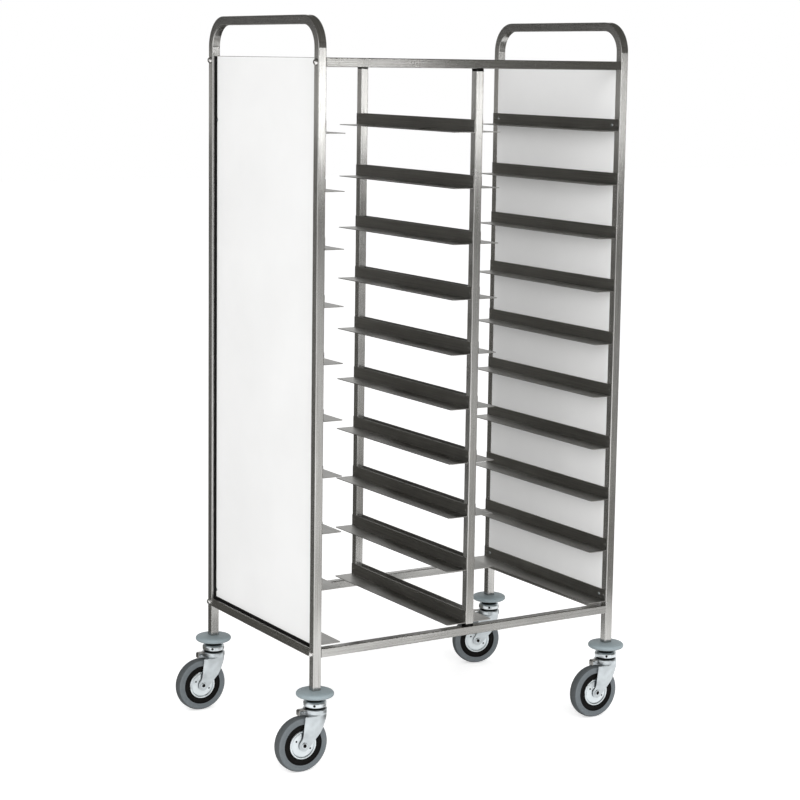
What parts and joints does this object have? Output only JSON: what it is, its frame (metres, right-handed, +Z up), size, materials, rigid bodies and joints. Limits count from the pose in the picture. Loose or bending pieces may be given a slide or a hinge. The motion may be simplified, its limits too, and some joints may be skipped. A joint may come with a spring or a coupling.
{
  "type": "tray trolley",
  "caption": "Tray trolley of square steel tube with side-by-side bays of angle guides, closed side panels, bent push handles and bumpered swivel casters.",
  "frame": {"origin": "on the floor, under the centre of the bounding box with the casters as stored", "axes": "+X along the bays, from the left side frame to the right one; +Y from the front to the back; +Z up from the floor to the handles"},
  "size_m": [0.94, 0.59, 1.653],
  "materials": {
    "frame_steel": "satin stainless",
    "guide_steel": "satin stainless",
    "panel_board": "smooth laminate",
    "zinc": "bright zinc plate",
    "black_plastic": "fine grain",
    "bumper_rubber": "smooth rubber",
    "tyre_rubber": "smooth rubber"
  },
  "bodies": {
    "frame": {"left_side_tube": "frame_steel", "right_side_tube": "frame_steel", "left_bottom_rail": "frame_steel", "right_bottom_rail": "frame_steel", "front_top_rail": "frame_steel", "rear_top_rail": "frame_steel", "front_bottom_rail": "frame_steel", "rear_bottom_rail": "frame_steel", "front_centre_post": "frame_steel", "rear_centre_post": "frame_steel", "centre_post_caps": "black_plastic", "centre_post_screws": "zinc", "rail_end_plugs": "black_plastic", "frame_bolts": "zinc", "left_panel": "panel_board", "right_panel": "panel_board", "panel_screws": "zinc", "guide_rivets": "zinc", "tray_guides_01": "guide_steel", "tray_guides_02": "guide_steel", "tray_guides_03": "guide_steel", "tray_guides_04": "guide_steel", "tray_guides_05": "guide_steel", "tray_guides_06": "guide_steel", "tray_guides_07": "guide_steel", "tray_guides_08": "guide_steel", "tray_guides_09": "guide_steel", "tray_guides_10": "guide_steel", "stem_front_left": "zinc", "bumper_front_left": "bumper_rubber", "head_front_left": "zinc", "stem_front_right": "zinc", "bumper_front_right": "bumper_rubber", "head_front_right": "zinc", "stem_rear_left": "zinc", "bumper_rear_left": "bumper_rubber", "head_rear_left": "zinc", "stem_rear_right": "zinc", "bumper_rear_right": "bumper_rubber", "head_rear_right": "zinc"},
    "swivel_front_left": {"fork_front_left": "zinc", "axle_front_left": "zinc"},
    "wheel_front_left": {"rim_front_left": "black_plastic", "covers_front_left": "zinc", "tyre_front_left": "tyre_rubber"},
    "swivel_front_right": {"fork_front_right": "zinc", "axle_front_right": "zinc"},
    "wheel_front_right": {"rim_front_right": "black_plastic", "covers_front_right": "zinc", "tyre_front_right": "tyre_rubber"},
    "swivel_rear_left": {"fork_rear_left": "zinc", "axle_rear_left": "zinc"},
    "wheel_rear_left": {"rim_rear_left": "black_plastic", "covers_rear_left": "zinc", "tyre_rear_left": "tyre_rubber"},
    "swivel_rear_right": {"fork_rear_right": "zinc", "axle_rear_right": "zinc"},
    "wheel_rear_right": {"rim_rear_right": "black_plastic", "covers_rear_right": "zinc", "tyre_rear_right": "tyre_rubber"}
  },
  "joints": [
    {"name": "swivel_turn_front_left", "type": "hinge", "parent": "frame", "child": "swivel_front_left", "pos_m": [-0.3725, -0.2525, 0.1405], "axis": [0, 0, 1], "continuous": true},
    {"name": "wheel_spin_front_left", "type": "hinge", "parent": "swivel_front_left", "child": "wheel_front_left", "pos_m": [-0.4075, -0.2525, 0.0625], "axis": [0, 1, 0], "continuous": true},
    {"name": "swivel_turn_front_right", "type": "hinge", "parent": "frame", "child": "swivel_front_right", "pos_m": [0.4275, -0.2525, 0.1405], "axis": [0, 0, 1], "continuous": true},
    {"name": "wheel_spin_front_right", "type": "hinge", "parent": "swivel_front_right", "child": "wheel_front_right", "pos_m": [0.3925, -0.2525, 0.0625], "axis": [0, 1, 0], "continuous": true},
    {"name": "swivel_turn_rear_left", "type": "hinge", "parent": "frame", "child": "swivel_rear_left", "pos_m": [-0.3725, 0.2525, 0.1405], "axis": [0, 0, 1], "continuous": true},
    {"name": "wheel_spin_rear_left", "type": "hinge", "parent": "swivel_rear_left", "child": "wheel_rear_left", "pos_m": [-0.4075, 0.2525, 0.0625], "axis": [0, 1, 0], "continuous": true},
    {"name": "swivel_turn_rear_right", "type": "hinge", "parent": "frame", "child": "swivel_rear_right", "pos_m": [0.4275, 0.2525, 0.1405], "axis": [0, 0, 1], "continuous": true},
    {"name": "wheel_spin_rear_right", "type": "hinge", "parent": "swivel_rear_right", "child": "wheel_rear_right", "pos_m": [0.39354, 0.26097, 0.0625], "axis": [0.2419, 0.9703, 0], "continuous": true}
  ]
}
